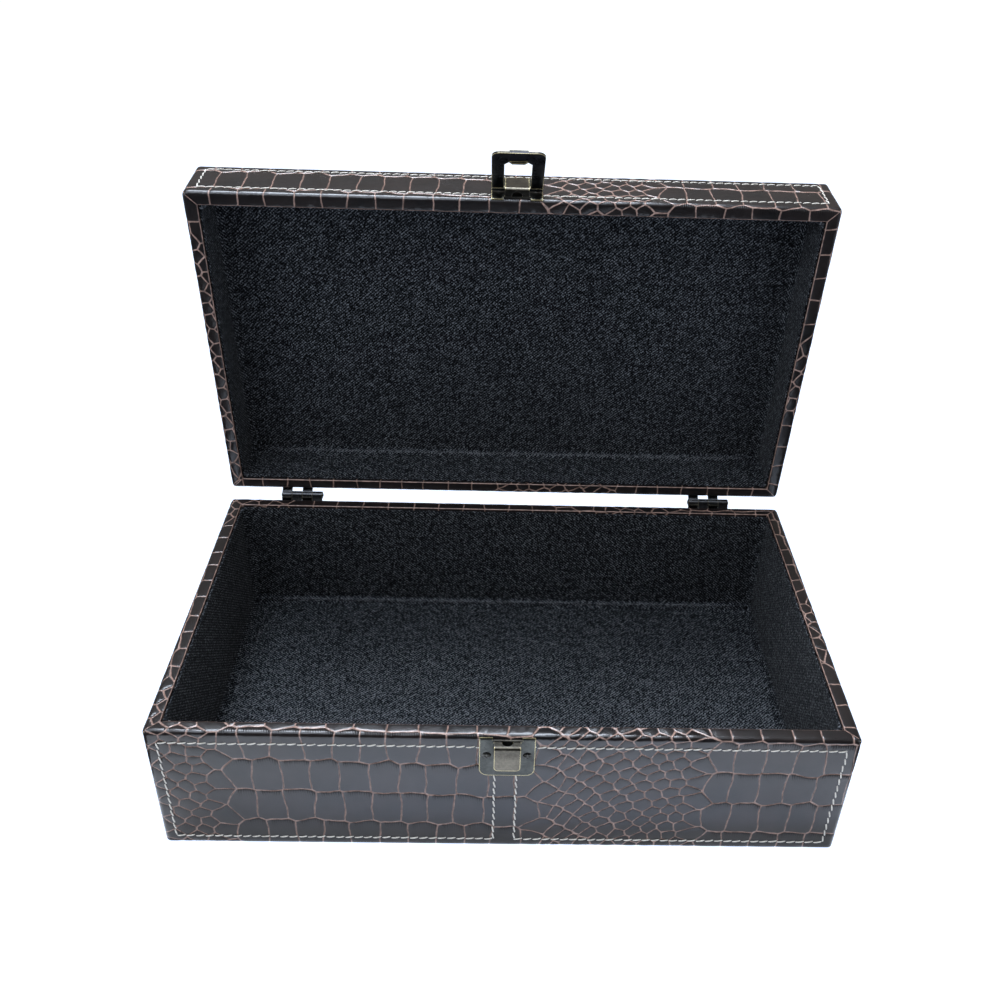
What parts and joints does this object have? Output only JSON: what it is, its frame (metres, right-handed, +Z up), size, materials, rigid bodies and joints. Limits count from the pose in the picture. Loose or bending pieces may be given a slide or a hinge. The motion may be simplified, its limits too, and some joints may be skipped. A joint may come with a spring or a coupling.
{
  "type": "storage box",
  "caption": "Rectangular storage box in crocodile-embossed leatherette with a fabric-lined base, a hinged lid that stands open on stop hinges, and a hasp catch.",
  "frame": {"origin": "centre of the base's underside", "axes": "+X to the right along the box's width, +Y to the back where the hinges are, +Z up; the lid is open at rest"},
  "size_m": [0.32, 0.2229, 0.288],
  "materials": {
    "leatherette": "glossy crocodile emboss",
    "lining": "fine twill",
    "board": "raw fibreboard",
    "backing": "matt backing sheet",
    "bronze": "antique bronze plate, worn at the edges"
  },
  "bodies": {
    "base": {"base_front_board": "board", "base_right_board": "board", "base_back_board": "board", "base_left_board": "board", "base_bottom_board": "board", "base_front_cover": "leatherette", "base_right_cover": "leatherette", "base_back_cover": "leatherette", "base_left_cover": "leatherette", "base_bottom_cover": "backing", "base_front_lining": "lining", "base_right_lining": "lining", "base_back_lining": "lining", "base_left_lining": "lining", "base_floor_lining": "lining", "base_catch_plate": "bronze", "base_catch_screws": "bronze", "base_hinge_screws": "bronze", "hinge_left_base_leaf": "bronze", "hinge_left_pin": "bronze", "hinge_right_base_leaf": "bronze", "hinge_right_pin": "bronze"},
    "lid": {"lid_front_board": "board", "lid_right_board": "board", "lid_back_board": "board", "lid_left_board": "board", "lid_top_board": "board", "lid_front_cover": "leatherette", "lid_right_cover": "leatherette", "lid_back_cover": "leatherette", "lid_left_cover": "leatherette", "lid_top_cover": "leatherette", "lid_front_lining": "lining", "lid_right_lining": "lining", "lid_back_lining": "lining", "lid_left_lining": "lining", "lid_top_lining": "lining", "lid_catch_plate": "bronze", "lid_catch_screws": "bronze", "lid_hinge_screws": "bronze", "hinge_left_lid_leaf": "bronze", "hinge_right_lid_leaf": "bronze"},
    "hasp_loop": {"hasp_loop": "bronze"}
  },
  "joints": [
    {"name": "lid_hinge", "type": "hinge", "parent": "base", "child": "lid", "pos_m": [0, 0.095, 0.07415], "axis": [1, 0, 0], "range_deg": [0, 85]},
    {"name": "hasp_swing", "type": "hinge", "parent": "lid", "child": "hasp_loop", "pos_m": [0.001, 0.08672, 0.26234], "axis": [1, 0, 0], "range_deg": [-110, 50]}
  ]
}
